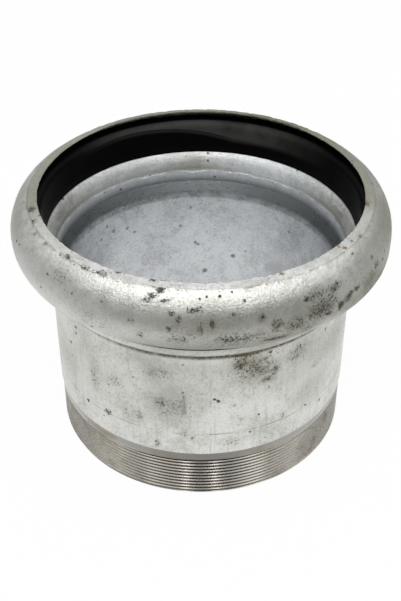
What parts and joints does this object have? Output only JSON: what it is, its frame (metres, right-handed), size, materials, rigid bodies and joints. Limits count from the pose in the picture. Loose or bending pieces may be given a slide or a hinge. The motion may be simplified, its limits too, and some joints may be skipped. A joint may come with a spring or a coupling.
{
  "type": "male threaded pipe adapter with socket",
  "caption": "Galvanised pipe adapter: a beaded socket with a black rubber sealing ring, welded to a short pipe with a male thread at its foot.",
  "frame": {"origin": "centre of the threaded end's face, on the surface the adapter stands on", "axes": "+Z along the pipe's axis, up from the threaded end to the socket's mouth; +X and +Y are the same all round"},
  "size_m": [0.2036, 0.2036, 0.147],
  "materials": {
    "pipe_nipple": "hot-dip galvanised, dull and mottled; the thread and a band above it are machined to bare steel",
    "socket_bell": "hot-dip galvanised, rough and mottled",
    "neck_weld": "galvanised fillet weld, satin",
    "seal_ring": "smooth black rubber, satin"
  },
  "bodies": {
    "root": {"pipe_nipple": "pipe_nipple", "socket_bell": "socket_bell", "neck_weld": "neck_weld", "seal_ring": "seal_ring"}
  },
  "joints": []
}
